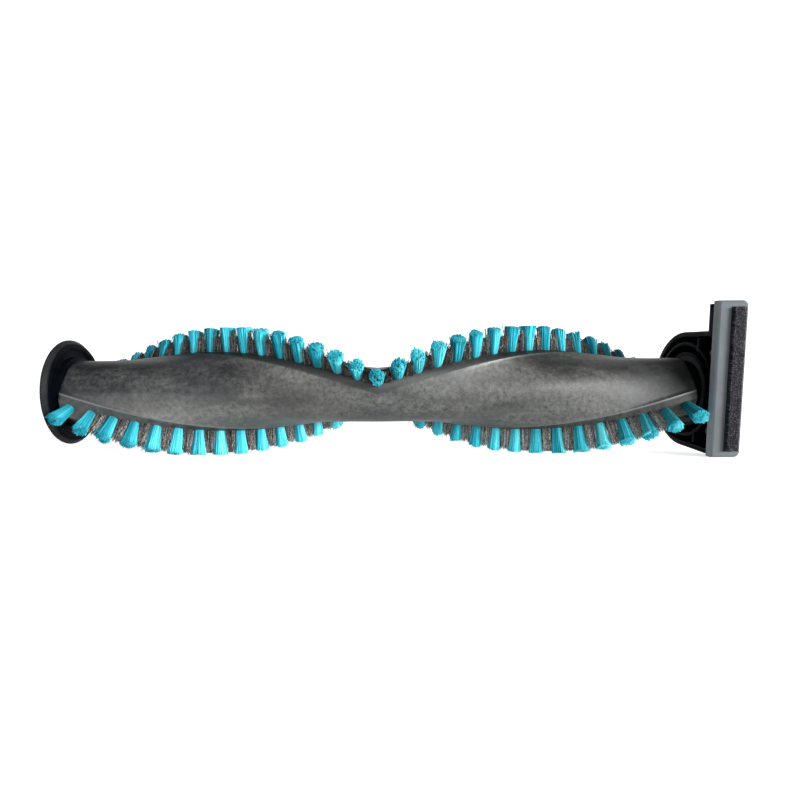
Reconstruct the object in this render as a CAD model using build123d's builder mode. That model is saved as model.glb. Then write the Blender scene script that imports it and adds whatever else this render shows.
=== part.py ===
"""Brush roll of a vacuum floor head, with the idle-end cap that carries its axle.

Frame: millimetres, +X along the roller axis from the drive end to the idle end, +Z up.
The origin is on the roller axis at the mouth of the drive socket. The roller lies on its
tufts, which are pressed to a small flat there, and on the foot of the end cap.
"""

import os
from math import atan, cos, degrees, radians, sin

from build123d import *

# Roller core: two lobes, twisted both ways from the V in the middle
core_start = 5.0  # from the drive socket's mouth
core_half_length = 116.0
land_radius = 15.2  # from the axis to the flat lands that carry the tufts
land_half_width = 2.2
rim_radius = 13.7  # along the same line, to the rims where the lands' flanks meet the faces
rim_half_width = 4.6
face_reach = 11.0  # how far a face keeps its slope from the rim
face_bulge = 12.2  # half-width of the core between the lands
waist_bulge = 8.6  # the same at the middle, on the side inside the V
waist_half_length = 62.0  # where the waist has run out
apex_angle = 10.5  # degrees above the -Y side where the front row has its V
twist_rate = 1.29  # degrees of turn for each millimetre of length
sections_per_half = 16
end_bore_radius = 8.0
end_bore_depth = 14.0

# Tufts
tuft_pitch = 7.25
tuft_margin = 3.4  # least distance from a tuft's middle to the end of the core
tip_radius = 25.0
tuft_root_radius = 1.85
tuft_tip_radius = 2.75
tuft_sides = 8  # few, because there are many tufts and holes
hole_clearance = 0.1
hole_depth = 5.0
anchor_length = 2.4
anchor_width = 1.2
anchor_thickness = 0.4
grey_short = 1.4  # how far the grey bristle ends below the teal tips
grey_width = 3.4  # across the row
grey_gap = 0.12  # to the teal tuft on each side, and to the land
rest_height = 24.7  # height of the axis over the floor on the pressed tufts

# Drive flange and coupling
flange_radius = 20.1
flange_web = 1.3
flange_lip_width = 3.2
flange_lip_height = 0.9
flange_rim_land = 0.5  # straight part of the rim, behind its taper
flange_rim_taper = 1.6
flange_back_x = 1.8
flange_spigot = 10.0  # length inside the core
collar_radius = 13.6
fit_clearance = 0.05  # between parts that stay together
socket_radius = 3.0
socket_depth = 10.0
coupling_radius = 6.0
coupling_length = 15.0
dog_width = 2.4
dog_depth = 3.0
dog_inner_radius = 4.4
dog_count = 4

# Idle end: plug, axle, washer and clip
plug_collar_radius = 10.6
plug_collar_length = 4.0
axle_radius = 3.0
axle_bite = 9.0  # length of the axle inside the plug
running_clearance = 0.04
axial_play = 0.3
washer_radius = 5.6
washer_thickness = 0.6
clip_radius = 4.8
clip_thickness = 0.7
groove_radius = 2.3
clip_slot = 3.8
axle_tail = 0.8  # axle beyond the clip

# End cap: carrier, bush and seal
cap_gap = 3.0  # from the core's end to the rim of the cup
cap_depth = 9.0
carrier_radius = 22.0
carrier_wall = 1.8
carrier_floor = 2.0
carrier_bottom = -22.3  # at the front
cup_radius = 17.0
cup_wall = 1.2
bush_radius = 4.8
bush_length = 4.0
boot_wall = 1.4
hub_wall = 1.5
seal_gap = 0.3
seal_width = 2.0
seal_thickness = 1.8
seal_sink = 0.6  # from the cup's rim to the seal
holder_wall = 1.4
rib_thickness = 1.2
rib_height = -6.2  # height of the short rib in the cup
wall_rib_y = -8.3  # where two ribs join the cup to the tray's walls
hub_cover_thickness = 1.0
hub_cover_radius = 9.4

# Grey sole cover, its backing tab and the pile strip
cap_swing = 5.8  # degrees the loose end cap has turned on its axle, to rest on its foot
bar_overhang = 1.2  # how far the bar stands out past the cup's rim
bar_front = 21.5  # from the axis forward to the sole
bar_top = 32.3
bar_width = 10.2
bar_corner = 2.0
cover_thickness = 3.2
cover_edge = 0.5
tab_thickness = 3.6
tab_inset = 0.8
notch_width = 1.2
notch_depth = 1.4
groove_width = 4.5
groove_edge = 1.5  # from the groove to the outer edge of the bar
groove_margin = 2.2  # from the groove to the ends of the bar
groove_depth = 1.4
strip_clearance = 0.25
strip_thickness = 3.2  # the pile stands proud of the bar
screw_radius = 0.9
screw_head_radius = 1.7
screw_head_height = 1.4
screw_bite = 1.5
screw_offset = 1.9  # from the cup's rim plane
screw_heights = (-14.0, 14.0)

apex_x = core_start + core_half_length
core_stop = apex_x + core_half_length
foot_z = -rest_height
plug_face = core_stop + plug_collar_length
bush_start = plug_face + washer_thickness + axial_play
bush_stop = bush_start + bush_length
clip_start = bush_stop + axial_play
cap_rim = core_stop + cap_gap
bar_start = cap_rim - bar_overhang
cap_face = cap_rim + cap_depth
cup_floor = cap_face - carrier_floor
boot_radius = bush_radius + boot_wall
hub_radius = boot_radius + hub_wall
seal_inner = plug_collar_radius + seal_gap
seal_outer = seal_inner + seal_width
holder_radius = seal_outer + holder_wall
seal_start = cap_rim + seal_sink
seal_stop = seal_start + seal_thickness
cover_back = -bar_front + cover_thickness
bar_stop = bar_start + bar_width
bar_foot = (foot_z + bar_front * sin(radians(cap_swing))) / cos(radians(cap_swing))
groove_start = bar_stop - groove_edge - groove_width
groove_bottom = bar_foot + groove_margin
groove_top = bar_top - groove_margin


def row_angle(distance, row):
    """Angle of a tuft row at a distance from the V, from -Y towards +Z; row 0 has its V in front."""
    return apex_angle + 180 * row + twist_rate * distance


def radial(angle):
    """Unit vector across the roller at an angle from -Y towards +Z."""
    return Vector(0, -cos(radians(angle)), sin(radians(angle)))


def row_plane(station, row, height):
    """Plane square to a tuft at a signed distance from the V, at a height from the axis."""
    out = radial(row_angle(abs(station), row))
    return Plane(Vector(apex_x + station, 0, 0) + out * height, x_dir=(1, 0, 0), z_dir=out)


def section_plane(distance):
    """Section plane of the core, with its x along the front row and y towards the V's inside."""
    return Plane(
        (apex_x + distance, 0, 0), x_dir=radial(row_angle(distance, 0)), z_dir=(-1, 0, 0)
    )


def waist(distance):
    """Half-width of the core on the side inside the V, easing out of the waist."""
    if distance >= waist_half_length:
        return face_bulge
    ease = 0.5 - 0.5 * cos(radians(180 * distance / waist_half_length))
    return waist_bulge + (face_bulge - waist_bulge) * ease


def across_x(x):
    """Plane square to the roller axis, facing the idle end, with its x along +Y and y along +Z."""
    return Plane((x, 0, 0), x_dir=(0, 1, 0), z_dir=(1, 0, 0))


def swung(part):
    """A piece of the end cap, turned on the axle to where its foot rests on the floor."""
    return Rotation(cap_swing, 0, 0) * part


def row_stations(row):
    """Signed distances of a row's tufts from the V: the rows are half a pitch apart."""
    first = tuft_pitch * row / 2
    steps = int((core_half_length - tuft_margin - first) / tuft_pitch)
    side = [first + tuft_pitch * step for step in range(steps + 1)]
    return sorted({-distance for distance in side} | set(side))


rows = {0: row_stations(0), 1: row_stations(1)}
tuft_total = tip_radius - land_radius + hole_depth - anchor_thickness
flare_slope = (tuft_tip_radius - tuft_root_radius) / (tip_radius - land_radius)
flare = degrees(atan(flare_slope * cos(radians(180 / tuft_sides))))
tuft_foot_radius = tuft_tip_radius - flare_slope * tuft_total
tuft_foot_height = tip_radius - tuft_total
hole_floor = land_radius - hole_depth
tuft_planes = [row_plane(station, row, hole_floor) for row in rows for station in rows[row]]

os.makedirs("parts", exist_ok=True)

# Roller core: one half lofted through turned sections, mirrored at the V, then bored.
# A face is a cubic curve whose middle is three quarters of the way to its pulled points.
with BuildPart() as roller_core:
    for step in range(sections_per_half + 1):
        distance = core_half_length * step / sections_per_half
        with BuildSketch(section_plane(distance)):
            with BuildLine():
                for way in (1, -1):
                    Polyline(
                        (way * rim_radius, rim_half_width),
                        (way * land_radius, land_half_width),
                        (way * land_radius, -land_half_width),
                        (way * rim_radius, -rim_half_width),
                    )
                for side, bulge in ((-1, face_bulge), (1, waist(distance))):
                    pull = side * (rim_half_width + (bulge - rim_half_width) * 4 / 3)
                    Bezier(
                        (rim_radius, side * rim_half_width),
                        (rim_radius - face_reach, pull),
                        (face_reach - rim_radius, pull),
                        (-rim_radius, side * rim_half_width),
                    )
            make_face()
    loft()
    mirror(about=across_x(apex_x))
    with Locations(across_x(core_start), across_x(core_stop - end_bore_depth)):
        Cylinder(
            end_bore_radius,
            end_bore_depth,
            align=(Align.CENTER, Align.CENTER, Align.MIN),
            mode=Mode.SUBTRACT,
        )
    for plane in tuft_planes:
        with BuildSketch(plane):
            RegularPolygon(tuft_root_radius + hole_clearance, tuft_sides)
    extrude(amount=2 * hole_depth, mode=Mode.SUBTRACT)
roller_core.part.label = "roller_core"
export_step(roller_core.part, "parts/roller_core.step")

# Flat wire anchors on the floors of the tuft holes
with BuildPart() as tuft_anchors:
    with Locations(*tuft_planes):
        Box(
            anchor_width,
            anchor_length,
            anchor_thickness,
            align=(Align.CENTER, Align.CENTER, Align.MIN),
        )
tuft_anchors.part.label = "tuft_anchors"
export_step(tuft_anchors.part, "parts/tuft_anchors.step")

# Space under the floor, which presses the lowest tufts flat
with BuildPart() as under_floor:
    with Locations((apex_x, 0, foot_z)):
        Box(
            4 * core_half_length,
            4 * tip_radius,
            tip_radius,
            align=(Align.CENTER, Align.CENTER, Align.MAX),
        )

# Teal tufts: narrow where they are anchored, flared to the trimmed tips
teal_names = {0: "teal_tufts_b", 1: "teal_tufts_a"}
for row, name in teal_names.items():
    with BuildPart() as teal_tufts:
        for station in rows[row]:
            with BuildSketch(row_plane(station, row, tuft_foot_height)):
                RegularPolygon(tuft_foot_radius, tuft_sides)
        extrude(amount=tuft_total, taper=-flare)
        add(under_floor.part, mode=Mode.SUBTRACT)
    teal_tufts.part.label = name
    export_step(teal_tufts.part, f"parts/{name}.step")

# Grey bristle in the gaps, except the outermost gap at each end
grey_names = {0: "grey_tufts_b", 1: "grey_tufts_a"}
grey_foot = land_radius + grey_gap
grey_top = tip_radius - grey_short
foot_half = tuft_pitch / 2 - tuft_root_radius - grey_gap
top_half = tuft_pitch / 2 - tuft_tip_radius - grey_gap
for row, name in grey_names.items():
    inner = rows[row][1:-1]
    middles = [(left + right) / 2 for left, right in zip(inner, inner[1:])]
    with BuildPart() as grey_tufts:
        for middle in middles:
            out = radial(row_angle(abs(middle), row))
            side = out.cross(Vector(1, 0, 0))
            with BuildSketch(Plane((apex_x + middle, 0, 0), x_dir=(1, 0, 0), z_dir=-side)):
                with BuildLine():
                    Polyline(
                        (-foot_half, grey_foot),
                        (-top_half, grey_top),
                        (top_half, grey_top),
                        (foot_half, grey_foot),
                        close=True,
                    )
                make_face()
        extrude(amount=grey_width / 2, both=True)
        add(under_floor.part, mode=Mode.SUBTRACT)
    grey_tufts.part.label = name
    export_step(grey_tufts.part, f"parts/{name}.step")

# Drive flange: dished disc with a lip, a collar against the core and a spigot in it
with BuildPart() as drive_flange:
    web_x = flange_back_x + flange_web
    lip_x = web_x + flange_lip_height
    spigot_x = core_start + flange_spigot
    bore = coupling_radius + fit_clearance
    spigot = end_bore_radius - fit_clearance
    with BuildSketch(Plane.XZ):
        with BuildLine():
            Polyline(
                (flange_back_x, bore),
                (flange_back_x, flange_radius),
                (flange_back_x + flange_rim_land, flange_radius),
                (lip_x, flange_radius - flange_rim_taper),
                (lip_x, flange_radius - flange_lip_width),
                (web_x, flange_radius - flange_lip_width - flange_lip_height),
                (web_x, collar_radius),
                (core_start, collar_radius),
                (core_start, spigot),
                (spigot_x, spigot),
                (spigot_x, bore),
                close=True,
            )
        make_face()
    revolve(axis=Axis.X)
drive_flange.part.label = "drive_flange"
export_step(drive_flange.part, "parts/drive_flange.step")

# Drive coupling: blind round socket with castellations for the drive dogs
with BuildPart() as drive_coupling:
    with BuildSketch(across_x(0)):
        Circle(coupling_radius)
    extrude(amount=coupling_length)
    with BuildSketch(across_x(0)):
        Circle(socket_radius)
    extrude(amount=socket_depth, mode=Mode.SUBTRACT)
    with BuildSketch(across_x(0)):
        with PolarLocations(dog_inner_radius, dog_count):
            Rectangle(coupling_radius, dog_width, align=(Align.MIN, Align.CENTER))
    extrude(amount=dog_depth, mode=Mode.SUBTRACT)
drive_coupling.part.label = "drive_coupling"
export_step(drive_coupling.part, "parts/drive_coupling.step")

# Idle plug: closes the core, with a collar that runs in the seal
with BuildPart() as idle_plug:
    with BuildSketch(across_x(core_stop - end_bore_depth)):
        Circle(end_bore_radius - fit_clearance)
    extrude(amount=end_bore_depth)
    with BuildSketch(across_x(core_stop)):
        Circle(plug_collar_radius)
    extrude(amount=plug_collar_length)
    with BuildSketch(across_x(plug_face)):
        Circle(axle_radius + fit_clearance)
    extrude(amount=-axle_bite, mode=Mode.SUBTRACT)
idle_plug.part.label = "idle_plug"
export_step(idle_plug.part, "parts/idle_plug.step")

# Axle pin with the clip's groove
with BuildPart() as axle_pin:
    with BuildSketch(across_x(plug_face - axle_bite)):
        Circle(axle_radius)
    extrude(amount=clip_start + clip_thickness + axle_tail - plug_face + axle_bite)
    with BuildSketch(across_x(clip_start)):
        Circle(axle_radius + fit_clearance)
        Circle(groove_radius, mode=Mode.SUBTRACT)
    extrude(amount=clip_thickness, mode=Mode.SUBTRACT)
axle_pin.part.label = "axle_pin"
export_step(axle_pin.part, "parts/axle_pin.step")

# Thrust washer between the plug and the bush
with BuildPart() as thrust_washer:
    with BuildSketch(across_x(plug_face)):
        Circle(washer_radius)
        Circle(axle_radius + fit_clearance, mode=Mode.SUBTRACT)
    extrude(amount=washer_thickness)
thrust_washer.part.label = "thrust_washer"
export_step(thrust_washer.part, "parts/thrust_washer.step")

# Retaining clip, open on one side
with BuildPart() as retaining_clip:
    with BuildSketch(across_x(clip_start)):
        Circle(clip_radius)
        Circle(groove_radius + fit_clearance, mode=Mode.SUBTRACT)
        Rectangle(clip_slot, clip_radius, align=(Align.CENTER, Align.MAX), mode=Mode.SUBTRACT)
    extrude(amount=clip_thickness)
retaining_clip.part.label = "retaining_clip"
export_step(retaining_clip.part, "parts/retaining_clip.step")

# Bearing carrier: D-shaped tray with a cup, a seal holder, a hub and the tab behind the bar
with BuildSketch(across_x(cap_rim)) as carrier_outline:
    Circle(carrier_radius)
    with BuildLine():
        Polyline(
            (0, carrier_radius),
            (cover_back, carrier_radius),
            (cover_back, carrier_bottom),
            (0, -carrier_radius),
            close=True,
        )
    make_face()
    with Locations((cover_back, 0)):
        Rectangle(
            carrier_radius, 4 * carrier_radius, align=(Align.MAX, Align.CENTER), mode=Mode.SUBTRACT
        )

with BuildPart() as bearing_carrier:
    with BuildSketch(across_x(cap_rim)):
        add(carrier_outline.sketch_local)
    extrude(amount=cap_depth)
    with BuildSketch(across_x(cap_rim)):
        add(carrier_outline.sketch_local)
        offset(amount=-carrier_wall, mode=Mode.REPLACE)
    extrude(amount=cap_depth - carrier_floor, mode=Mode.SUBTRACT)
    with BuildSketch(across_x(cap_rim)):
        Circle(cup_radius + cup_wall)
        Circle(cup_radius, mode=Mode.SUBTRACT)
    extrude(amount=cap_depth - carrier_floor)
    with BuildSketch(across_x(seal_stop)):
        Circle(holder_radius)
        Circle(seal_inner, mode=Mode.SUBTRACT)
    extrude(amount=cup_floor - seal_stop)
    with BuildSketch(across_x(seal_start)):
        Circle(holder_radius)
        Circle(seal_outer + fit_clearance, mode=Mode.SUBTRACT)
    extrude(amount=seal_thickness)
    with BuildSketch(across_x(bush_start)):
        Circle(hub_radius)
    extrude(amount=cup_floor - bush_start)
    with BuildSketch(across_x(bush_start)):
        Circle(boot_radius + fit_clearance)
    extrude(amount=cap_face - bush_start, mode=Mode.SUBTRACT)
    with BuildSketch(across_x(cap_face)):
        Circle(hub_cover_radius + fit_clearance)
    extrude(amount=-hub_cover_thickness, mode=Mode.SUBTRACT)
    with BuildSketch(across_x(seal_start)):
        with Locations((-holder_radius + holder_wall / 2, rib_height)):
            Rectangle(cup_radius - holder_radius + holder_wall, rib_thickness, align=(Align.MAX, Align.CENTER))
    extrude(amount=cup_floor - seal_start)
    with BuildSketch(across_x(cap_rim)):
        for way in (-1, 1):
            with Locations((wall_rib_y, way * cup_radius)):
                Rectangle(rib_thickness, carrier_radius - cup_radius)
        add(carrier_outline.sketch_local, mode=Mode.INTERSECT)
    extrude(amount=cap_depth - carrier_floor)
    tab_start = bar_start + tab_inset
    tab_stop = bar_stop - tab_inset
    with BuildSketch(Plane.XZ.offset(-cover_back)):
        with BuildLine():
            Polyline(
                (tab_start, carrier_radius - carrier_wall),
                (tab_start, bar_top - tab_inset),
                (tab_stop, bar_top - tab_inset),
                (tab_stop, carrier_radius - carrier_wall),
                close=True,
            )
        make_face()
    extrude(amount=-tab_thickness)
    with BuildSketch(across_x(tab_start)):
        with Locations((cover_back + tab_thickness / 2, bar_top - tab_inset)):
            Rectangle(notch_width, 2 * notch_depth)
    extrude(amount=tab_stop - tab_start, mode=Mode.SUBTRACT)
    with Locations(*[(cap_rim + screw_offset, cover_back, z) for z in screw_heights]):
        Cylinder(
            screw_radius + fit_clearance,
            2 * carrier_wall + fit_clearance,
            rotation=(90, 0, 0),
            mode=Mode.SUBTRACT,
        )
carrier = swung(bearing_carrier.part)
carrier.label = "bearing_carrier"
export_step(carrier, "parts/bearing_carrier.step")

# Bronze bush, the rubber boot round it, the felt seal and the hub cover
rings = {
    "bearing_bush": (bush_start, axle_radius + running_clearance, bush_radius, bush_length),
    "rubber_boot": (bush_start, bush_radius + fit_clearance, boot_radius, bush_length),
    "felt_seal": (seal_start, seal_inner, seal_outer, seal_thickness),
    "hub_cover": (cap_face - hub_cover_thickness, 0, hub_cover_radius, hub_cover_thickness),
}
for name, (start, inner_radius, outer_radius, length) in rings.items():
    with BuildPart() as ring:
        with BuildSketch(across_x(start)):
            Circle(outer_radius)
            if inner_radius:
                Circle(inner_radius, mode=Mode.SUBTRACT)
        extrude(amount=length)
    ring.part.label = name
    export_step(ring.part, f"parts/{name}.step")

# Grey sole cover: bar with a groove for the pile strip and blind holes for the screws
with BuildPart() as sole_cover:
    with BuildSketch(Plane.XZ.offset(-cover_back)):
        with BuildLine():
            Polyline(
                (bar_start, bar_foot),
                (bar_start, bar_top),
                (bar_stop, bar_top),
                (bar_stop, bar_foot),
                close=True,
            )
        make_face()
    extrude(amount=cover_thickness)
    fillet(sole_cover.edges().filter_by(Axis.Y).group_by(Axis.X)[-1], bar_corner)
    front = sole_cover.faces().sort_by(Axis.Y)[0]
    chamfer(front.edges().filter_by(Axis.Z), cover_edge)
    with BuildSketch(Plane.XZ.offset(bar_front)):
        with Locations((groove_start, groove_bottom)):
            Rectangle(groove_width, groove_top - groove_bottom, align=(Align.MIN, Align.MIN))
    extrude(amount=-groove_depth, mode=Mode.SUBTRACT)
    with Locations(*[(cap_rim + screw_offset, cover_back, z) for z in screw_heights]):
        Cylinder(
            screw_radius + fit_clearance,
            2 * screw_bite,
            rotation=(90, 0, 0),
            mode=Mode.SUBTRACT,
        )
cover = swung(sole_cover.part)
cover.label = "sole_cover"
export_step(cover, "parts/sole_cover.step")

# Pile strip, seated in the groove and standing proud of the bar
with BuildPart() as pile_strip:
    with BuildSketch(Plane.XZ.offset(bar_front - groove_depth)):
        with Locations((groove_start + strip_clearance, groove_bottom + strip_clearance)):
            Rectangle(
                groove_width - 2 * strip_clearance,
                groove_top - groove_bottom - 2 * strip_clearance,
                align=(Align.MIN, Align.MIN),
            )
    extrude(amount=strip_thickness)
strip = swung(pile_strip.part)
strip.label = "pile_strip"
export_step(strip, "parts/pile_strip.step")

# Screws through the carrier's front wall into the bar
with BuildPart() as cover_screws:
    for z in screw_heights:
        with BuildSketch(Plane.XZ.offset(-cover_back - carrier_wall)):
            with Locations((cap_rim + screw_offset, z)):
                Circle(screw_radius)
        extrude(amount=carrier_wall + screw_bite)
        with BuildSketch(Plane.XZ.offset(-cover_back - carrier_wall)):
            with Locations((cap_rim + screw_offset, z)):
                Circle(screw_head_radius)
        extrude(amount=-screw_head_height)
screws = swung(cover_screws.part)
screws.label = "cover_screws"
export_step(screws, "parts/cover_screws.step")
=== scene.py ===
"""Vacuum roller brush: the finish of every piece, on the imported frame, in metres."""

from math import cos, pi, radians, sin

import bmesh
import bpy
import numpy as np
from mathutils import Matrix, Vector


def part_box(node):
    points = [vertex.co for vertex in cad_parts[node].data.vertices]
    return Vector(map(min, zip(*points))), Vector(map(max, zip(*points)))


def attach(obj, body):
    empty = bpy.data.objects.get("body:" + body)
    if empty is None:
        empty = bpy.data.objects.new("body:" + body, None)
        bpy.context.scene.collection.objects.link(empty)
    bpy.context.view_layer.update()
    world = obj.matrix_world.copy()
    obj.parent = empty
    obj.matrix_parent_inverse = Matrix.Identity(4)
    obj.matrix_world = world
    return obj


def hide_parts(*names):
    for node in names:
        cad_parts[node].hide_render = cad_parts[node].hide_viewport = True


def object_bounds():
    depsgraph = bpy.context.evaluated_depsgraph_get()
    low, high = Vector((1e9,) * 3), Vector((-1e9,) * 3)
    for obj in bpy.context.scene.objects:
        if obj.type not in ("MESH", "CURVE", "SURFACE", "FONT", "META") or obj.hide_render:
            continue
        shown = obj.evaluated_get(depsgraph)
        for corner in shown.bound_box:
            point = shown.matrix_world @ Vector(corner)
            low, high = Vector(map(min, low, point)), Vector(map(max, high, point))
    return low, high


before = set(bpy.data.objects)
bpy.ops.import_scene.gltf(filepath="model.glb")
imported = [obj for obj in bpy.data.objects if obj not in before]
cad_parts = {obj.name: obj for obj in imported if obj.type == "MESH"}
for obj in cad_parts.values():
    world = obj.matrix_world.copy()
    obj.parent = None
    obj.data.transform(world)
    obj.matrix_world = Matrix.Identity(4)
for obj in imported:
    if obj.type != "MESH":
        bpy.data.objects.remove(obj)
cad_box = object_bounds()
mm = 0.001

# Roller core: one long moulding of grey plastic with two flat lands that wind up and back from
# a V in the middle. It is satin, with dusty pale scuffs, and paler ovals painted on as light
# where the lamp falls most. A thin raised rim runs along both edges of each land, higher on the
# back row's. The lands are painted dark as shade and the rims pale as a painted highlight,
# paler on the back row's.
core_low, core_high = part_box("roller_core")
apex_x = (core_low.x + core_high.x) / 2
core_half = (core_high.x - core_low.x) / 2
land_radius = 15.2 * mm
land_half_width = 2.2 * mm
rim_radius = 13.7 * mm
rim_half_width = 4.6 * mm
face_reach = 11.0 * mm
face_bulge = 12.2 * mm
waist_bulge = 8.6 * mm
waist_half_length = 62 * mm
apex_angle = radians(10.5)
twist_rate = radians(1.29) / mm
bead_height = 0.14 * mm
bead_width = 0.5 * mm
bead_start = 32 * mm
front_bead_share = 0.3
core_stations = 320
face_points = 34
end_round = 0.5 * mm
back_land_shade_share = 0.3
front_rim_highlight_share = 0.25
light_pool_front = -10 * mm
light_pool_depth = 40 * mm
# Each oval of painted light: strength, offset from the V, height, tilt in degrees, half length, half
# height (mm)
light_pool_ovals = ((1.3, -33, 8, 18, 30, 9), (1.15, -80, -9, 4, 52, 9), (0.8, -12, 0, 0, 22, 9),
              (0.9, 15, 1.5, 14, 17, 5), (2.5, 42, 10, 17, 36, 7), (0.42, 72, -3, 10, 42, 9),
              (0.55, -28, -8, -4, 30, 6), (0.45, 50, -9, 6, 32, 6))


def row_angle(distance, row):
    """Angle of a tuft row from the front, at a distance from the V."""
    return apex_angle + pi * row + twist_rate * distance


def outward(angle):
    """Unit vector across the roller at an angle from the front towards the top."""
    return Vector((0, -cos(angle), sin(angle)))


def lobe_face(bulge, side):
    """Points of one face between the lands' rims, from the front row's land to the back row's."""
    pull = rim_half_width + (bulge - rim_half_width) * 4 / 3
    points = []
    for step in range(face_points):
        part = step / (face_points - 1)
        near, far = (1 - part)**3, part**3
        inner, outer = 3 * part * (1 - part)**2, 3 * part**2 * (1 - part)
        along = rim_radius * (near - far) + (rim_radius - face_reach) * (inner - outer)
        points.append((along, side * (rim_half_width * (near + far) + pull * (inner + outer))))
    return points


def land_points(way, bead):
    """Points across a land and its flanks, with a bead on each rim. way: 1 front row, -1 back row."""
    rise = (land_radius - rim_radius) / (rim_half_width - land_half_width)
    steps = [(rim_half_width, rim_radius), (rim_half_width, rim_radius + bead),
             (rim_half_width - bead_width, rim_radius + rise * bead_width + bead),
             (rim_half_width - 1.4 * bead_width, rim_radius + 1.4 * rise * bead_width),
             (land_half_width, land_radius), (0.4 * land_half_width, land_radius)]
    steps += [(-across, out) for across, out in reversed(steps)]
    return [(way * out, way * across) for across, out in steps]


def core_ring(distance):
    """The core's section at a distance from the V, in the turned frame of the front row."""
    ease = min(1, distance / waist_half_length)
    inside = waist_bulge + (face_bulge - waist_bulge) * (0.5 - 0.5 * cos(pi * ease))
    bead = bead_height * min(1, max(0, (distance - bead_start) / bead_start))
    ring = land_points(1, front_bead_share * bead)
    ring += lobe_face(face_bulge, -1)[1:-1]
    ring += land_points(-1, bead)
    ring += lobe_face(inside, 1)[-2:0:-1]
    return ring


def mesh_piece(name, points, faces, material, smooth_angle=None):
    """A new mesh object with one material, smooth up to an angle."""
    mesh = bpy.data.meshes.new(name)
    mesh.from_pydata(points, [], faces)
    mesh.update()
    mesh.shade_smooth()
    if smooth_angle:
        mesh.set_sharp_from_angle(angle=smooth_angle)
    mesh.materials.append(material)
    piece = bpy.data.objects.new(name, mesh)
    bpy.context.scene.collection.objects.link(piece)
    return piece


def node_maker(material):
    """A short way to add a shader node and join it: make(type, {input: value or socket}, settings)."""
    tree = material.node_tree

    def make(kind, inputs=None, **settings):
        node = tree.nodes.new(kind)
        for key, value in settings.items():
            setattr(node, key, value)
        for key, value in (inputs or {}).items():
            if isinstance(value, bpy.types.NodeSocket):
                tree.links.new(value, node.inputs[key])
            else:
                node.inputs[key].default_value = value
        return node

    return make


def new_finish(name):
    """An empty node material with its shader, ready to be wired."""
    material = bpy.data.materials.new(name)
    material.use_nodes = True
    shader = material.node_tree.nodes["Principled BSDF"]
    return material, shader, node_maker(material), material.node_tree.links.new


def ramp(make, factor, stops):
    """A colour ramp from a list of (position, colour) stops."""
    node = make("ShaderNodeValToRGB", {"Fac": factor})
    elements = node.color_ramp.elements
    while len(elements) < len(stops):
        elements.new(1)
    for element, (position, colour) in zip(elements, stops):
        element.position = position
        element.color = (*colour, 1)
    return node.outputs["Color"]


def painted_light_place(make, where, offset, height, tilt, wide, high):
    """How far a spot is inside one soft oval of painted light, 1 in its middle and 0 outside."""
    middle = (apex_x + offset * mm, light_pool_front, height * mm)
    reach = (wide * mm, light_pool_depth, high * mm)
    turned = (0, radians(tilt), 0)
    oval = make("ShaderNodeMapping", {"Vector": where, "Location": middle, "Rotation": turned,
                                      "Scale": reach}, vector_type="TEXTURE")
    inside = make("ShaderNodeTexGradient", {"Vector": oval.outputs["Vector"]}, gradient_type="SPHERICAL")
    return inside.outputs["Fac"]


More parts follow.
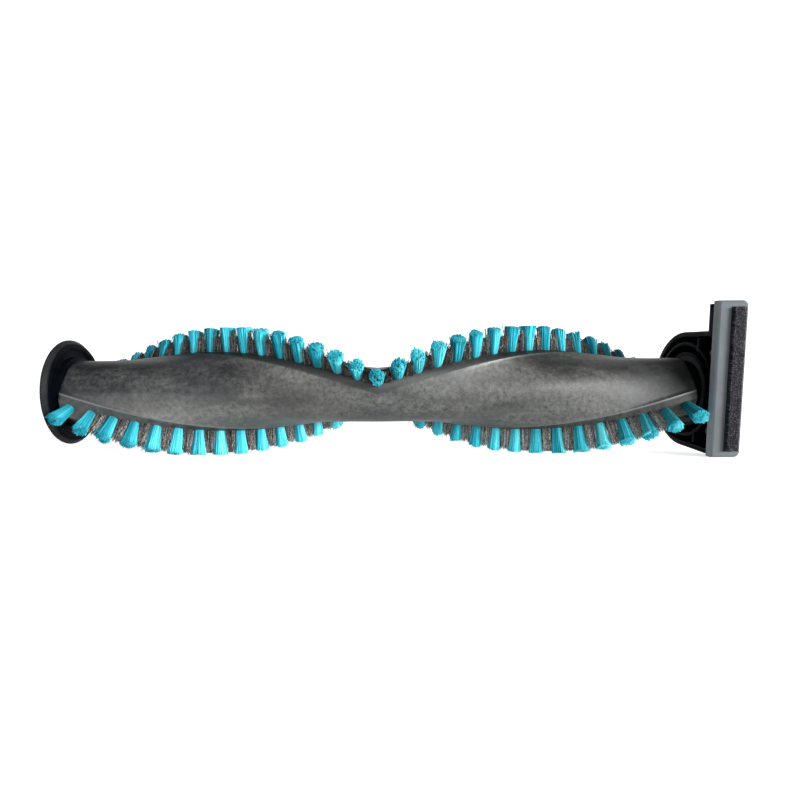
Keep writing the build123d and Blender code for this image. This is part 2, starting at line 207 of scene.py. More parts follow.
def core_finish():
    """Satin grey plastic, cooler at the drive end, dusty, with ovals of painted light, painted shade on
    the lands and the carrier end, painted highlights on the rims.
    """
    material, shader, make, link = new_finish("core_plastic")
    where = make("ShaderNodeTexCoord").outputs["Object"]
    apart = make("ShaderNodeSeparateXYZ", {"Vector": where}).outputs
    along = make("ShaderNodeMapRange", {"Value": apart["X"], "From Min": core_low.x,
                                        "From Max": core_high.x})
    # The tone runs darker towards the drive end, and from 0.95 on it drops into painted shade where the
    # bearing carrier shades the core's end.
    tone = ramp(make, along.outputs["Result"], [
        (0.0, (0.0060, 0.0072, 0.0088)), (0.25, (0.0100, 0.0110, 0.0120)), (0.42, (0.017, 0.017, 0.016)),
        (0.50, (0.016, 0.017, 0.017)), (0.62, (0.023, 0.024, 0.023)), (0.78, (0.017, 0.018, 0.017)),
        (0.95, (0.0130, 0.0140, 0.0135)), (1.0, (0.0045, 0.0050, 0.0048))])
    broad = make("ShaderNodeTexNoise", {"Vector": where, "Scale": 28, "Detail": 3, "Roughness": 0.55})
    patches = make("ShaderNodeMapRange", {"Value": broad.outputs["Fac"], "From Min": 0.3, "From Max": 0.7,
                                          "To Min": 0.55, "To Max": 1.45})
    patched = make("ShaderNodeMix", {"Factor": 1.0, "A": tone, "B": patches.outputs["Result"]},
                   data_type="RGBA", blend_type="MULTIPLY")
    streaky = make("ShaderNodeMapping", {"Vector": where, "Scale": (0.35, 1, 1)}).outputs["Vector"]
    cloud = make("ShaderNodeTexNoise", {"Vector": streaky, "Scale": 95, "Detail": 7, "Roughness": 0.68})
    scuffs = make("ShaderNodeMapRange", {"Value": cloud.outputs["Fac"], "From Min": 0.46,
                                         "From Max": 0.72})
    fine = make("ShaderNodeTexNoise", {"Vector": where, "Scale": 620, "Detail": 5, "Roughness": 0.75})
    grain = make("ShaderNodeMapRange", {"Value": fine.outputs["Fac"], "From Min": 0.35, "From Max": 0.75})
    dust = make("ShaderNodeMath", {0: scuffs.outputs["Result"], 1: grain.outputs["Result"]},
                operation="MULTIPLY")
    # Below the seam on the drive side there is more dust and a paler veil: painted light on the lower face
    # there, partly dust.
    below_seam = make("ShaderNodeMapRange", {"Value": apart["Z"], "From Min": -0.6 * mm,
                                             "From Max": -2.0 * mm})
    drive_side = make("ShaderNodeMapRange", {"Value": apart["X"], "From Min": apex_x - 25 * mm,
                                             "From Max": apex_x - 55 * mm})
    low_drive_side = make("ShaderNodeMath", {0: below_seam.outputs["Result"], 1: drive_side.outputs["Result"]},
                   operation="MULTIPLY")
    amount = make("ShaderNodeMapRange", {"Value": low_drive_side.outputs[0], "To Min": 0.64, "To Max": 1.0})
    dust_and_light_share = make("ShaderNodeMath", {0: dust.outputs[0], 1: amount.outputs["Result"]},
                      operation="MULTIPLY")
    speckle = make("ShaderNodeMapRange", {"Value": fine.outputs["Fac"], "From Min": 0.3, "From Max": 0.7,
                                          "To Min": 0.30, "To Max": 1.9})
    grained = make("ShaderNodeMix", {"Factor": 1.0, "A": patched.outputs["Result"],
                                     "B": speckle.outputs["Result"]},
                   data_type="RGBA", blend_type="MULTIPLY")
    # The ovals are painted light: a paler grey where the lamp falls most, brightest as a painted highlight
    # right of the V.
    light_pool = None
    for strength, *oval in light_pool_ovals:
        inside = painted_light_place(make, where, *oval)
        place = make("ShaderNodeMath", {0: inside, 1: strength}, operation="MULTIPLY").outputs[0]
        if light_pool:
            place = make("ShaderNodeMath", {0: light_pool, 1: place}, operation="MAXIMUM").outputs[0]
        light_pool = place
    mottled = make("ShaderNodeMath", {0: light_pool, 1: patches.outputs["Result"]}, operation="MULTIPLY")
    light_pool_share = make("ShaderNodeMapRange", {"Value": mottled.outputs[0], "From Max": 3.0, "To Max": 0.70})
    painted_light_grey = make("ShaderNodeMix", {"Factor": 1.0, "A": (0.170, 0.170, 0.158, 1),
                                       "B": speckle.outputs["Result"]},
                     data_type="RGBA", blend_type="MULTIPLY")
    paled = make("ShaderNodeMix", {"Factor": light_pool_share.outputs["Result"], "A": grained.outputs["Result"],
                                    "B": painted_light_grey.outputs["Result"]}, data_type="RGBA")
    dusty = make("ShaderNodeMix", {"Factor": dust_and_light_share.outputs[0], "A": paled.outputs["Result"],
                                   "B": (0.15, 0.147, 0.135, 1)}, data_type="RGBA")
    lit_dust_veil = make("ShaderNodeMath", {0: low_drive_side.outputs[0], 1: 0.14}, operation="MULTIPLY")
    lit_dust_veiled = make("ShaderNodeMix", {"Factor": lit_dust_veil.outputs[0], "A": dusty.outputs["Result"],
                                    "B": (0.11, 0.109, 0.102, 1)}, data_type="RGBA")
    # The lands are painted dark as shade, the front row's most; the rims are painted pale as a highlight
    # away from the V, the back row's most.
    land_shade = make("ShaderNodeAttribute", attribute_name="land").outputs["Fac"]
    rim_highlight = make("ShaderNodeAttribute", attribute_name="rim").outputs["Fac"]
    land_shade_share = make("ShaderNodeMath", {0: land_shade, 1: 0.85}, operation="MULTIPLY")
    land_shaded = make("ShaderNodeMix", {"Factor": land_shade_share.outputs[0], "A": lit_dust_veiled.outputs["Result"],
                                    "B": (0.005, 0.0055, 0.006, 1)}, data_type="RGBA")
    from_end = make("ShaderNodeMath", {0: along.outputs["Result"], 1: 0.5}, operation="SUBTRACT")
    from_middle = make("ShaderNodeMath", {0: from_end.outputs[0]}, operation="ABSOLUTE")
    painted_light = make("ShaderNodeMapRange", {"Value": from_middle.outputs[0], "From Min": 0.12, "From Max": 0.24,
                                       "To Max": 0.45})
    rim_highlight_share = make("ShaderNodeMath", {0: rim_highlight, 1: painted_light.outputs["Result"]}, operation="MULTIPLY")
    colour = make("ShaderNodeMix", {"Factor": rim_highlight_share.outputs[0], "A": land_shaded.outputs["Result"],
                                    "B": (0.14, 0.14, 0.135, 1)}, data_type="RGBA")
    link(colour.outputs["Result"], shader.inputs["Base Color"])
    rough = make("ShaderNodeMapRange", {"Value": cloud.outputs["Fac"], "From Min": 0.3, "From Max": 0.7,
                                        "To Min": 0.40, "To Max": 0.62})
    link(rough.outputs["Result"], shader.inputs["Roughness"])
    bump = make("ShaderNodeBump", {"Strength": 0.12, "Distance": 0.00015, "Height": fine.outputs["Fac"]})
    link(bump.outputs["Normal"], shader.inputs["Normal"])
    return material


points, faces = [], []
ends = [(-core_half, 1 - end_round / face_bulge), (core_half, 1 - end_round / face_bulge)]
inner_stations = np.linspace(end_round - core_half, core_half - end_round, core_stations)
stations = [ends[0]] + [(float(x), 1.0) for x in inner_stations] + [ends[1]]
for offset, shrink in stations:
    along_row = outward(row_angle(abs(offset), 0))
    across_row = outward(row_angle(abs(offset), 0) + pi / 2)
    for out, side in core_ring(abs(offset)):
        points.append(Vector((apex_x + offset, 0, 0)) + shrink * (out * along_row + side * across_row))
ring_size = len(core_ring(0))
for ring in range(len(stations) - 1):
    for spot in range(ring_size):
        after = (spot + 1) % ring_size
        here, there = ring * ring_size, (ring + 1) * ring_size
        faces.append((here + spot, there + spot, there + after, here + after))
faces.append(tuple(range(ring_size)))
faces.append(tuple(reversed(range(len(points) - ring_size, len(points)))))
core_plastic = core_finish()
core = mesh_piece("core_moulding", points, faces, core_plastic, radians(50))
# Marks for the painted shade on the lands and the painted highlight on the rims, weaker on the back row's
# lands and the front row's rims.
face_marks = [0] * (face_points - 2)
rim_highlight_marks = [0, 1, 1, 0, 0, 0, 0, 0, 0, 1, 1, 0]
land_shade_marks = [0, 0.5, 0.9, 1, 1, 1, 1, 1, 1, 0.9, 0.5, 0]
back_land_shade_marks = [back_land_shade_share * mark for mark in land_shade_marks]
front_rim_highlight_marks = [front_rim_highlight_share * mark for mark in rim_highlight_marks]
mark_layers = (("land", land_shade_marks, back_land_shade_marks), ("rim", front_rim_highlight_marks, rim_highlight_marks))
for label, front, back in mark_layers:
    layer = core.data.attributes.new(label, "FLOAT", "POINT")
    marks = np.array((front + face_marks + back + face_marks) * len(stations), dtype=np.float32)
    layer.data.foreach_set("value", marks)
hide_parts("roller_core")
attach(core, "roller")

# Tuft anchors: short pieces of flat steel wire punched into the floor of every tuft hole. They
# are shut in under the tufts, so a plain bright metal with fine scratches is enough.


def metal_finish(name, colour, roughness, scratch):
    """Drawn or turned metal with fine scratches."""
    material, shader, make, link = new_finish(name)
    where = make("ShaderNodeTexCoord").outputs["Object"]
    marks = make("ShaderNodeTexNoise", {"Vector": where, "Scale": 2400, "Detail": 4})
    rough = make("ShaderNodeMapRange", {"Value": marks.outputs["Fac"], "To Min": roughness - scratch,
                                        "To Max": roughness + scratch})
    link(rough.outputs["Result"], shader.inputs["Roughness"])
    shade = ramp(make, marks.outputs["Fac"], [(0.2, [0.75 * part for part in colour]), (0.8, colour)])
    link(shade, shader.inputs["Base Color"])
    shader.inputs["Metallic"].default_value = 1
    return material


def dress(node, material):
    """Give a CAD node that keeps its own shape a finish."""
    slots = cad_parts[node].data.materials
    slots.clear()
    slots.append(material)


bright_steel = metal_finish("bright_steel", (0.56, 0.56, 0.57), 0.32, 0.1)
dress("tuft_anchors", bright_steel)

# Teal tufts: bundles of stiff nylon filament, folded over an anchor in each hole and trimmed to one
# diameter. They flare to the tips in clumps, with some loose filaments, most in the front row, and
# those under the roller are pressed flat by its weight.
tip_radius = 25 * mm
tuft_pitch = 7.25 * mm
tuft_margin = 3.4 * mm
tuft_root = 1.75 * mm
tuft_tip = 2.72 * mm
tuft_sunk = 0.8 * mm
tip_trim = 0.1 * mm
filament_radius = 0.132 * mm
filaments_per_tuft = 260
filament_steps = 3
tip_swell = 0.2
golden_turn = pi * (3 - 5**0.5)
clumps_per_tuft = 9
tuft_lean = 0.18 * mm
least_splay, most_splay = 0.92, 1.03
filament_stray = 0.10 * mm
clump_stray = 0.14 * mm
loose_stretch = 4
back_loose_share, back_flare = 0.06, 1.3
front_loose_share, front_flare = 0.22, 0.8
filament_ragged = 0.16 * mm
clump_ragged = 0.45 * mm
clump_tone = 0.12
right_lit_tone = 0.26
back_tone, back_light_rise = 0.53, 0.26
back_end_shade, back_end_from = 0.9, 0.7
front_tone = 0.46
front_end_shade, front_end_from = 0.6, 0.3
tuft_tone_spread = 0.07
filament_tone_spread = 0.13
floor_z = cad_box[0][2]


def row_stations(row):
    """Signed distances of a row's tufts from the V: the rows are half a pitch apart."""
    first = tuft_pitch * row / 2
    count = int((core_half - tuft_margin - first) / tuft_pitch) + 1
    side = [first + tuft_pitch * step for step in range(count)]
    return sorted({-distance for distance in side} | set(side))


def fibres(name, paths, radius, sides, material, tones, swell=0.0):
    """One mesh of thin fibres along given paths, with a tone and a length fraction on each point."""
    paths = np.asarray(paths)
    count, steps, _ = paths.shape
    run = paths[:, -1] - paths[:, 0]
    run /= np.linalg.norm(run, axis=1, keepdims=True)
    helper = np.where(np.abs(run[:, :1]) < 0.8, [[1.0, 0, 0]], [[0, 1.0, 0]])
    first = np.cross(run, helper)
    first /= np.linalg.norm(first, axis=1, keepdims=True)
    second = np.cross(run, first)
    turns = np.arange(sides) * 2 * pi / sides
    rims = np.cos(turns)[None, :, None] * first[:, None] + np.sin(turns)[None, :, None] * second[:, None]
    thick = radius * (1 + swell * np.linspace(0, 1, steps))
    points = paths[:, :, None, :] + thick[None, :, None, None] * rims[:, None]
    faces = []
    for fibre in range(count):
        base = fibre * steps * sides
        for step in range(steps - 1):
            low = base + step * sides
            for spot in range(sides):
                after = (spot + 1) % sides
                faces.append((low + spot, low + after, low + sides + after, low + sides + spot))
        faces.append(tuple(base + (steps - 1) * sides + spot for spot in range(sides)))
    piece = mesh_piece(name, points.reshape(-1, 3), faces, material, radians(60))
    fractions = np.broadcast_to(np.linspace(0, 1, steps)[None, :, None], (count, steps, sides))
    shades = np.broadcast_to(np.asarray(tones)[:, None, None], (count, steps, sides))
    for label, values in (("fibre_run", fractions), ("fibre_tone", shades)):
        layer = piece.data.attributes.new(label, "FLOAT", "POINT")
        layer.data.foreach_set("value", np.ascontiguousarray(values, dtype=np.float32).ravel())
    return piece


def bristle_finish(name, dark, middle, light, roughness, mottle=0.1, root=0.5):
    """Nylon filament: a tone for each fibre, with painted shade darkest at the root, and a little darker
    at the cut tip.
    """
    material, shader, make, link = new_finish(name)
    tone = make("ShaderNodeAttribute", attribute_name="fibre_tone").outputs["Fac"]
    run = make("ShaderNodeAttribute", attribute_name="fibre_run").outputs["Fac"]
    shade = ramp(make, tone, [(0, dark), (0.5, middle), (1, light)])
    where = make("ShaderNodeTexCoord").outputs["Object"]
    fleck = make("ShaderNodeTexNoise", {"Vector": where, "Scale": 1600, "Detail": 2, "Roughness": 0.6})
    flecks = ramp(make, fleck.outputs["Fac"], [(0.35, [1 - mottle] * 3), (0.65, [1 + mottle] * 3)])
    flecked = make("ShaderNodeMix", {"Factor": 1.0, "A": shade, "B": flecks}, data_type="RGBA",
                   blend_type="MULTIPLY")
    # Painted shade at the root, where the filaments crowd; the cut tip is a little darker.
    depth = ramp(make, run, [(0, [root] * 3), (0.35, [0.80] * 3), (0.85, [1.05] * 3), (1, [0.84] * 3)])
    colour = make("ShaderNodeMix", {"Factor": 1.0, "A": flecked.outputs["Result"], "B": depth},
                  data_type="RGBA", blend_type="MULTIPLY")
    link(colour.outputs["Result"], shader.inputs["Base Color"])
    shader.inputs["Roughness"].default_value = roughness
    shader.inputs["Specular IOR Level"].default_value = 0.15
    return material


def tuft_paths(random, station, row):
    """Filament paths of one tuft, from its hole to the trimmed tips, and how light each filament is, with
    painted light on the tuft's right side and painted shade on its left.
    """
    centre = np.array((apex_x + station, 0, 0))
    out = np.array(outward(row_angle(abs(station), row)))
    side = np.array(outward(row_angle(abs(station), row) + pi / 2))
    lean = random.normal(0, tuft_lean, 2)
    splay = random.uniform(least_splay, most_splay)
    order = np.arange(filaments_per_tuft)
    spread = np.sqrt((order + 0.5) / filaments_per_tuft)
    turn = golden_turn * order + random.uniform(0, 2 * pi)
    flat = np.stack([spread * np.cos(turn), spread * np.sin(turn)], axis=1)
    stray = random.normal(0, filament_stray, (filaments_per_tuft, 2))
    seeds = random.uniform(-1, 1, (clumps_per_tuft, 2))
    clump = np.argmin(((flat[:, None] - seeds[None])**2).sum(axis=2), axis=1)
    stray += random.normal(0, clump_stray, (clumps_per_tuft, 2))[clump]
    loose_share = back_loose_share if row else front_loose_share
    flare = back_flare if row else front_flare
    stray[random.uniform(0, 1, filaments_per_tuft) < loose_share] *= loose_stretch
    reach = tip_radius - tip_trim - np.abs(random.normal(0, filament_ragged, filaments_per_tuft))
    reach -= random.uniform(0, clump_ragged, clumps_per_tuft)[clump]
    streak = random.normal(0, clump_tone, clumps_per_tuft)[clump]
    paths = np.zeros((filaments_per_tuft, filament_steps, 3))
    for step, part in enumerate(np.linspace(0, 1, filament_steps)):
        wide = tuft_root + (tuft_tip * splay - tuft_root) * part**flare
        plan = flat * wide + (lean + stray) * part**2
        height = (land_radius - tuft_sunk) * (1 - part) + reach * part
        paths[:, step] = centre + plan[:, :1] * [[1, 0, 0]]
        paths[:, step] += plan[:, 1:] * side + height[:, None] * out
    lowest = floor_z + (1 + tip_swell) * filament_radius
    paths[:, :, 2] = np.maximum(paths[:, :, 2], lowest)
    # Filaments on the tuft's right side are painted lighter and on its left darker, as painted light and
    # shade; the clumps' streaks are their own tone.
    return paths, right_lit_tone * flat[:, 0] + streak


teal_nylon = bristle_finish("teal_nylon", (0.002, 0.12, 0.18), (0.034, 0.42, 0.52),
                            (0.19, 0.78, 0.82), roughness=0.38)
random = np.random.default_rng(41)
for row, label in ((1, "a"), (0, "b")):
    tuft_sets = [tuft_paths(random, station, row) for station in row_stations(row)]
    bundles = np.concatenate([paths for paths, _ in tuft_sets])
    # The rows' tones carry painted light and shade: the back row is lighter towards the right and darker
    # in painted shade at its right end, and the front row darker in painted shade towards both ends.
    places = np.array(row_stations(row)) / core_half
    if row:
        lit_tone = back_tone + back_light_rise * places
        lit_tone = lit_tone - back_end_shade * np.maximum(0, places - back_end_from)
    else:
        lit_tone = front_tone - front_end_shade * np.maximum(0, np.abs(places) - front_end_from)
    lit_tone = lit_tone + random.normal(0, tuft_tone_spread, len(tuft_sets))
    batch = np.repeat(lit_tone, filaments_per_tuft)
    tones = batch + np.concatenate([streaks for _, streaks in tuft_sets])
    tones = np.clip(tones + random.normal(0, filament_tone_spread, len(bundles)), 0, 1)
    tufts = fibres(f"teal_filaments_{label}", bundles, filament_radius, 4, teal_nylon, tones, tip_swell)
    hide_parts(f"teal_tufts_{label}")
    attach(tufts, "roller")

# Grey bristle: finer and softer filament that fills the gaps between the teal tufts, all but the
# outermost gap at each end. It is dull and dusty, crimped, stands a little lower than the tufts and
# is cropped shorter in the front row.
hair_radius = 0.085 * mm
hairs_per_gap = 170
hair_steps = 5
hair_short = 1.0 * mm
hair_gap = 0.05 * mm
hair_half_width = 1.7 * mm
foot_overlap = 0.25 * mm
head_overlap = 0.75 * mm
hair_sway = 0.22 * mm
hair_crimp = 0.20 * mm
back_ragged = 0.45 * mm
thinned_ragged = 4 * mm
thinned_from = 0.65
front_ragged = 1.2 * mm
cropped_share = 0.85
crop_length = 2.4 * mm
back_hair_tone, back_hair_tone_rise = 0.54, 0.28
end_hair_lift, end_hair_lift_from = 0.7, 0.6
front_hair_shade = 0.16
hair_tone_spread = 0.18


def gap_paths(random, station, row):
    """Hair paths that fill one gap between two teal tufts."""
    out = np.array(outward(row_angle(abs(station), row)))
    side = np.array(outward(row_angle(abs(station), row) + pi / 2))
    foot = tuft_pitch / 2 - tuft_root - hair_gap + foot_overlap
    head = tuft_pitch / 2 - tuft_tip - hair_gap + head_overlap
    places = random.uniform(-1, 1, (hairs_per_gap, 2))
    sway = random.normal(0, hair_sway, (hairs_per_gap, 2))
    crimp = random.normal(0, hair_crimp, (hair_steps, hairs_per_gap, 2))
    thinned = max(0, abs(station) / core_half - thinned_from)
    ragged = back_ragged + thinned_ragged * thinned if row else front_ragged
    reach = tip_radius - hair_short - np.abs(random.normal(0, ragged, hairs_per_gap))
    cropped = random.uniform(0, 1, hairs_per_gap) < (0 if row else cropped_share)
    reach -= crop_length * cropped
    paths = np.zeros((hairs_per_gap, hair_steps, 3))
    for step, part in enumerate(np.linspace(0, 1, hair_steps)):
        bend = sway * part**2 + crimp[step] * part
        plan_x = places[:, 0] * (foot + (head - foot) * part) + bend[:, 0]
        plan_y = places[:, 1] * hair_half_width + bend[:, 1]
        height = (land_radius - hair_gap) * (1 - part) + reach * part
        paths[:, step] = [[apex_x + station, 0, 0]] + plan_x[:, None] * [[1, 0, 0]]
        paths[:, step] += plan_y[:, None] * side + height[:, None] * out
    paths[:, :, 2] = np.maximum(paths[:, :, 2], floor_z + hair_radius)
    return paths


grey_nylon = bristle_finish("grey_nylon", (0.022, 0.021, 0.020), (0.137, 0.135, 0.131),
                            (0.43, 0.42, 0.405), roughness=0.8, mottle=0.8, root=0.5)
for row, label in ((1, "a"), (0, "b")):
    inner = row_stations(row)[1:-1]
    gaps = [(left + right) / 2 for left, right in zip(inner, inner[1:])]
    hairs = np.concatenate([gap_paths(random, gap, row) for gap in gaps])
    places = np.repeat(np.array(gaps) / core_half, hairs_per_gap)
    # The hairs' tone is painted light and shade: dark in the front row, painted shade under the tufts, and
    # in the back row lighter towards the right as painted light, partly dust, and lighter again towards
    # both ends.
    hair_shade_tone = front_hair_shade
    if row:
        hair_shade_tone = back_hair_tone + back_hair_tone_rise * places
        hair_shade_tone = hair_shade_tone + end_hair_lift * np.maximum(0, np.abs(places) - end_hair_lift_from)
    tones = np.clip(hair_shade_tone + random.normal(0, hair_tone_spread, len(hairs)), 0, 1)
    fill = fibres(f"grey_hairs_{label}", hairs, hair_radius, 3, grey_nylon, tones)
    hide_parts(f"grey_tufts_{label}")
    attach(fill, "roller")

# Drive flange and coupling: a dished black disc that keeps hair off the belt, with a spigot in the
# core's end, and the castellated socket that takes the drive. Both are moulded, with soft edges, and
# the disc's lip is painted paler grey as a painted reflection.
weld_distance = 0.002 * mm
flat_angle = radians(0.5)
sharp_angle = radians(35)
smooth_angle = radians(28)
lip_radius = 18.6 * mm
black = (0.0012, 0.0018, 0.0030)


def black_finish(name, colour, roughness, dust, painted_light_radius=None):
    """Black moulded plastic, satin, faintly dusty, with a painted reflection in paler grey beyond a radius
    if one is given.
    """
    material, shader, make, link = new_finish(name)
    where = make("ShaderNodeTexCoord").outputs["Object"]
    cloud = make("ShaderNodeTexNoise", {"Vector": where, "Scale": 160, "Detail": 6, "Roughness": 0.65})
    grain = make("ShaderNodeTexNoise", {"Vector": where, "Scale": 1500, "Detail": 2})
    share = make("ShaderNodeMapRange", {"Value": cloud.outputs["Fac"], "From Min": 0.52, "From Max": 0.82,
                                        "To Max": dust})
    shade = make("ShaderNodeMix", {"Factor": share.outputs["Result"], "A": (*colour, 1),
                                   "B": (0.16, 0.16, 0.155, 1)}, data_type="RGBA")
    # Beyond the radius the lip is painted paler grey in patches: a painted reflection.
    if painted_light_radius:
        round_axle = make("ShaderNodeMapping", {"Vector": where, "Scale": (0, 1, 1)}).outputs["Vector"]
        radius = make("ShaderNodeVectorMath", {0: round_axle}, operation="LENGTH").outputs["Value"]
        paled = make("ShaderNodeMapRange", {"Value": radius, "From Min": painted_light_radius,
                                             "From Max": painted_light_radius + 0.5 * mm})
        sheen_share = make("ShaderNodeMath", {0: paled.outputs["Result"], 1: cloud.outputs["Fac"]},
                         operation="MULTIPLY")
        shade = make("ShaderNodeMix", {"Factor": sheen_share.outputs[0], "A": shade.outputs["Result"],
                                       "B": (0.024, 0.0245, 0.025, 1)}, data_type="RGBA")
    link(shade.outputs["Result"], shader.inputs["Base Color"])
    shader.inputs["Specular IOR Level"].default_value = 0.015
    rough = make("ShaderNodeMapRange", {"Value": cloud.outputs["Fac"], "From Min": 0.3, "From Max": 0.75,
                                        "To Min": roughness, "To Max": roughness + 0.22})
    link(rough.outputs["Result"], shader.inputs["Roughness"])
    bump = make("ShaderNodeBump", {"Strength": 0.10, "Distance": 0.0001, "Height": grain.outputs["Fac"]})
    link(bump.outputs["Normal"], shader.inputs["Normal"])
    return material


def soft_edged(node, name, edge, material, body):
    """A copy of a CAD node with its sharp edges rounded, in the node's place."""
    shape = bmesh.new()
    shape.from_mesh(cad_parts[node].data)
    bmesh.ops.remove_doubles(shape, verts=shape.verts, dist=weld_distance)
    bmesh.ops.dissolve_limit(shape, angle_limit=flat_angle, verts=shape.verts, edges=shape.edges)
    creases = [line for line in shape.edges if len(line.link_faces) == 2]
    sharp = [line for line in creases if line.calc_face_angle() > sharp_angle]
    bmesh.ops.bevel(shape, geom=sharp, offset=edge, segments=2, profile=0.6, affect="EDGES",
                    clamp_overlap=True)
    points = [point.co.copy() for point in shape.verts]
    shape.verts.index_update()
    faces = [tuple(point.index for point in face.verts) for face in shape.faces]
    shape.free()
    piece = mesh_piece(name, points, faces, material, smooth_angle)
    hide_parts(node)
    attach(piece, body)
    return piece


black_plastic = black_finish("black_plastic", black, 0.30, 0.010)
flange_plastic = black_finish("flange_plastic", black, 0.30, 0.010, lip_radius)
coupling_nylon = black_finish("coupling_nylon", (0.020, 0.020, 0.022), 0.28, 0.05)
soft_edged("drive_flange", "flange_moulding", 0.22 * mm, flange_plastic, "roller")
soft_edged("drive_coupling", "coupling_moulding", 0.15 * mm, coupling_nylon, "roller")

# Idle plug, axle, washer and clip: the black plug is pressed into the core and grips the steel stub
# axle. The washer and the clip keep the end cap in its place along the axle.
soft_edged("idle_plug", "plug_moulding", 0.18 * mm, black_plastic, "roller")
for node in ("axle_pin", "thrust_washer", "retaining_clip"):
    dress(node, bright_steel)

# Bearing carrier and hub: a black tray with a round cup, a seal holder and short ribs. A bronze bush
# sits in it in a rubber boot, felt keeps the dust out, and a disc closes the hub outside.


def felt_finish(name, dark, light, scale):
    """Pressed felt or rubber: dull, with a fibrous mottle."""
    material, shader, make, link = new_finish(name)
    where = make("ShaderNodeTexCoord").outputs["Object"]
    mottle = make("ShaderNodeTexNoise", {"Vector": where, "Scale": scale, "Detail": 5, "Roughness": 0.7})
    link(ramp(make, mottle.outputs["Fac"], [(0.3, dark), (0.7, light)]), shader.inputs["Base Color"])
    shader.inputs["Roughness"].default_value = 0.9
    bump = make("ShaderNodeBump", {"Strength": 0.5, "Distance": 0.0002, "Height": mottle.outputs["Fac"]})
    link(bump.outputs["Normal"], shader.inputs["Normal"])
    return material


soft_edged("bearing_carrier", "carrier_moulding", 0.2 * mm, black_plastic, "end_cap")
soft_edged("hub_cover", "hub_disc", 0.15 * mm, black_plastic, "end_cap")
dress("bearing_bush", metal_finish("sintered_bronze", (0.44, 0.27, 0.12), 0.5, 0.12))
dress("rubber_boot", felt_finish("boot_rubber", (0.008, 0.008, 0.008), (0.016, 0.016, 0.016), 500))
dress("felt_seal", felt_finish("seal_felt", (0.003, 0.003, 0.004), (0.009, 0.009, 0.010), 1400))

# Sole cover: the grey bar that the floor head shows below, moulded with rounded edges and screwed
# on from inside. It is a matt cool grey, cleaner than the core, with fine rubbing along it, and its
# side towards the roller is painted paler as painted light.


def sole_finish():
    """Cool grey matt plastic with fine rubbing along its length, and painted light making the side towards
    the roller paler.
    """
    material, shader, make, link = new_finish("sole_plastic")
    where = make("ShaderNodeTexCoord").outputs["Object"]
    brushed = make("ShaderNodeMapping", {"Vector": where, "Scale": (1, 1, 0.12)}).outputs["Vector"]
    rubs = make("ShaderNodeTexNoise", {"Vector": brushed, "Scale": 420, "Detail": 5, "Roughness": 0.6})
    cloud = make("ShaderNodeTexNoise", {"Vector": where, "Scale": 120, "Detail": 5})
    base = ramp(make, cloud.outputs["Fac"], [(0.3, (0.060, 0.069, 0.076)), (0.7, (0.070, 0.079, 0.087))])
    share = make("ShaderNodeMapRange", {"Value": rubs.outputs["Fac"], "From Min": 0.55, "From Max": 0.8,
                                        "To Max": 0.3})
    paled = make("ShaderNodeMix", {"Factor": share.outputs["Result"], "A": base,
                                    "B": (0.115, 0.125, 0.135, 1)}, data_type="RGBA")
    # Faces turned towards the roller get a paler grey: painted light on the bar's side.
    facing = make("ShaderNodeTexCoord").outputs["Normal"]
    inward = make("ShaderNodeSeparateXYZ", {"Vector": facing}).outputs["X"]
    edge = make("ShaderNodeMapRange", {"Value": inward, "From Min": -0.45, "From Max": -1.0})
    colour = make("ShaderNodeMix", {"Factor": edge.outputs["Result"], "A": paled.outputs["Result"],
                                    "B": (0.165, 0.182, 0.198, 1)}, data_type="RGBA")
    link(colour.outputs["Result"], shader.inputs["Base Color"])
    rough = make("ShaderNodeMapRange", {"Value": rubs.outputs["Fac"], "To Min": 0.66, "To Max": 0.86})
    link(rough.outputs["Result"], shader.inputs["Roughness"])
    shader.inputs["Specular IOR Level"].default_value = 0.25
    bump = make("ShaderNodeBump", {"Strength": 0.08, "Distance": 0.0001, "Height": rubs.outputs["Fac"]})
    link(bump.outputs["Normal"], shader.inputs["Normal"])
    return material


soft_edged("sole_cover", "sole_bar", 0.25 * mm, sole_finish(), "end_cap")
dress("cover_screws", metal_finish("black_steel", (0.030, 0.030, 0.032), 0.45, 0.1))

# Pile strip: a woven tape with short dark pile, stuck in the bar's groove to seal against the floor.
# The pile stands proud of the bar, and like the bar it has turned with the end cap on the axle.
cap_swing = radians(5.8)
strip_start, strip_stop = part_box("pile_strip")[0].x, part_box("pile_strip")[1].x
strip_bottom = -20.19 * mm
strip_top = 29.85 * mm
tape_back = -20.1 * mm
tape_face = -21.7 * mm
pile_face = -23.27 * mm
pile_rows = 20
pile_columns = 230
pile_radius = 0.10 * mm
pile_shift = 0.3
pile_tilt = 0.08 * mm
pile_ragged = 0.12 * mm
pile_tone, pile_tone_spread = 0.5, 0.28


def swung(x, y, z):
    """A place on the end cap, from the cap's own upright frame to where it has turned on the axle."""
    return (x, y * cos(cap_swing) - z * sin(cap_swing), y * sin(cap_swing) + z * cos(cap_swing))


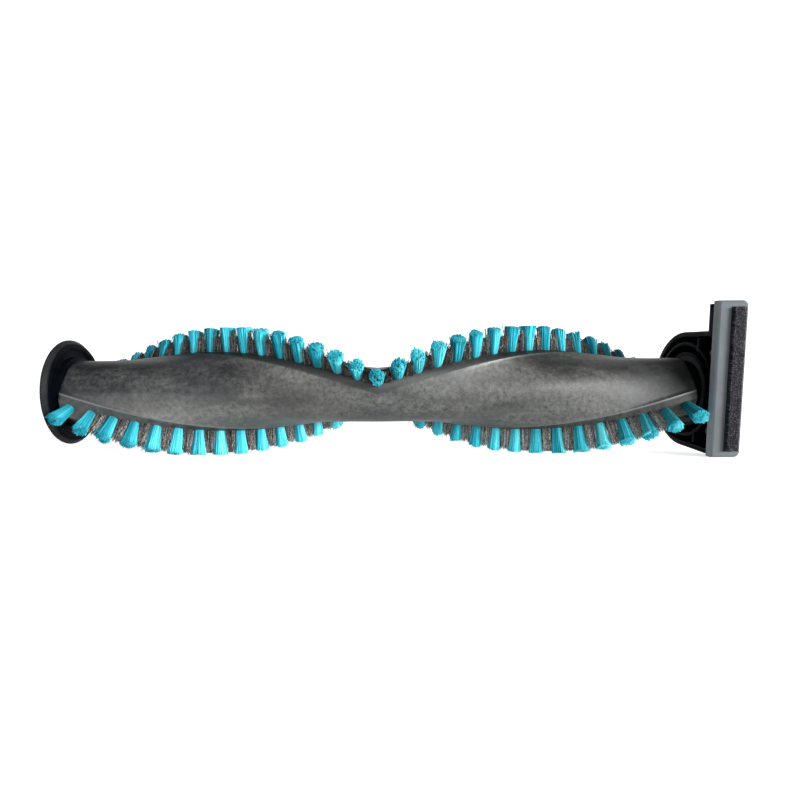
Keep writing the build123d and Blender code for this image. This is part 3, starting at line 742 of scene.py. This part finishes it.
pile_yarn = bristle_finish("pile_yarn", (0.005, 0.005, 0.0065), (0.029, 0.028, 0.035),
                           (0.14, 0.136, 0.152), roughness=0.8, mottle=0.6, root=0.3)
tape_weave = felt_finish("tape_weave", (0.008, 0.008, 0.010), (0.02, 0.02, 0.024), 900)
corners = [swung(x, y, z) for x in (strip_start, strip_stop) for y in (tape_face, tape_back)
           for z in (strip_bottom, strip_top)]
tape_faces = [(0, 1, 3, 2), (4, 6, 7, 5), (0, 4, 5, 1), (2, 3, 7, 6), (0, 2, 6, 4), (1, 5, 7, 3)]
tape = mesh_piece("pile_tape", corners, tape_faces, tape_weave, radians(30))
piles = []
for column in range(pile_columns):
    for place in range(pile_rows):
        across = (place + 0.5 + random.uniform(-pile_shift, pile_shift)) / pile_rows
        along = (column + 0.5 + random.uniform(-pile_shift, pile_shift)) / pile_columns
        x = strip_start + across * (strip_stop - strip_start)
        z = strip_bottom + along * (strip_top - strip_bottom)
        tilt = random.normal(0, pile_tilt, 2)
        tip = pile_face + abs(random.normal(0, pile_ragged))
        piles.append([swung(x, tape_face, z), swung(x + tilt[0], tip, z + tilt[1])])
tones = np.clip(random.normal(pile_tone, pile_tone_spread, len(piles)), 0, 1)
pile = fibres("pile_fibres", piles, pile_radius, 4, pile_yarn, tones)
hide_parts("pile_strip")
for piece in (tape, pile):
    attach(piece, "end_cap")

# Floor and sweep: one pale sheet under the roller that curves up behind it, with no edge in view.
sheet_half = 3.0
sweep_start = 0.55
sweep_radius = 0.8
sweep_height = 2.2
sweep_steps = 24


def paper_finish():
    """Plain pale paper, lit through from below as on a light table."""
    material, shader, _, _ = new_finish("pale_paper")
    shader.inputs["Base Color"].default_value = (0.93, 0.93, 0.93, 1)
    shader.inputs["Roughness"].default_value = 0.9
    shader.inputs["Specular IOR Level"].default_value = 0.1
    shader.inputs["Emission Color"].default_value = (1, 1, 1, 1)
    shader.inputs["Emission Strength"].default_value = 0.62
    return material


profile = [(-sheet_half, 0.0), (sweep_start, 0.0)]
for step in range(1, sweep_steps + 1):
    turn = 0.5 * pi * step / sweep_steps
    profile.append((sweep_start + sweep_radius * sin(turn), sweep_radius * (1 - cos(turn))))
profile.append((sweep_start + sweep_radius, sweep_height))
points = [(apex_x + way * sheet_half, y, floor_z + z) for y, z in profile for way in (-1, 1)]
faces = [(2 * step, 2 * step + 1, 2 * step + 3, 2 * step + 2) for step in range(len(profile) - 1)]
floor = mesh_piece("floor_sheet", points, faces, paper_finish())

# Light: a soft panel low on the right and a weak one in front, in a dim white surround.


def soft_panel(name, place, aim, width, height, power):
    """A rectangular soft light that faces a point."""
    light = bpy.data.lights.new(name, "AREA")
    light.shape = "RECTANGLE"
    light.size = width
    light.size_y = height
    light.energy = power
    panel = bpy.data.objects.new(name, light)
    panel.location = place
    panel.rotation_euler = (Vector(aim) - Vector(place)).to_track_quat("-Z", "Y").to_euler()
    bpy.context.scene.collection.objects.link(panel)


middle = (apex_x, 0, 0)
soft_panel("right_panel", (apex_x + 0.88, -0.78, 0.12), middle, 0.55, 0.26, 33)
soft_panel("front_panel", (apex_x + 0.1, -1.05, 0.10), middle, 0.6, 0.3, 4)
world = bpy.data.worlds.new("studio")
world.use_nodes = True
world.node_tree.nodes["Background"].inputs["Color"].default_value = (1, 1, 1, 1)
world.node_tree.nodes["Background"].inputs["Strength"].default_value = 0.10
bpy.context.scene.world = world
bpy.context.scene.view_settings.view_transform = "Standard"

# Camera: level, close in front of the roller, a little below its axis, as the photograph was taken.
pixel = 0.39 * mm
image_size = 800
camera_distance = 530 * pixel
camera_drop = 10 * pixel
centre_x_pixel = 379.1
centre_y_drop = 0.5
camera_roll = 0.0053
camera_shift = 1.2 * pixel
sensor = 36
camera_data = bpy.data.cameras.new("photo_camera")
camera_data.sensor_width = sensor
camera_data.lens = sensor * camera_distance / (image_size * pixel)
camera_data.shift_x = (image_size / 2 - centre_x_pixel) / image_size
camera_data.shift_y = centre_y_drop / image_size
camera_data.clip_start = 0.005
camera = bpy.data.objects.new("photo_camera", camera_data)
camera.location = (apex_x + camera_shift, -camera_distance, -camera_drop)
camera.rotation_euler = (pi / 2, camera_roll, 0)
bpy.context.scene.collection.objects.link(camera)
bpy.context.scene.camera = camera
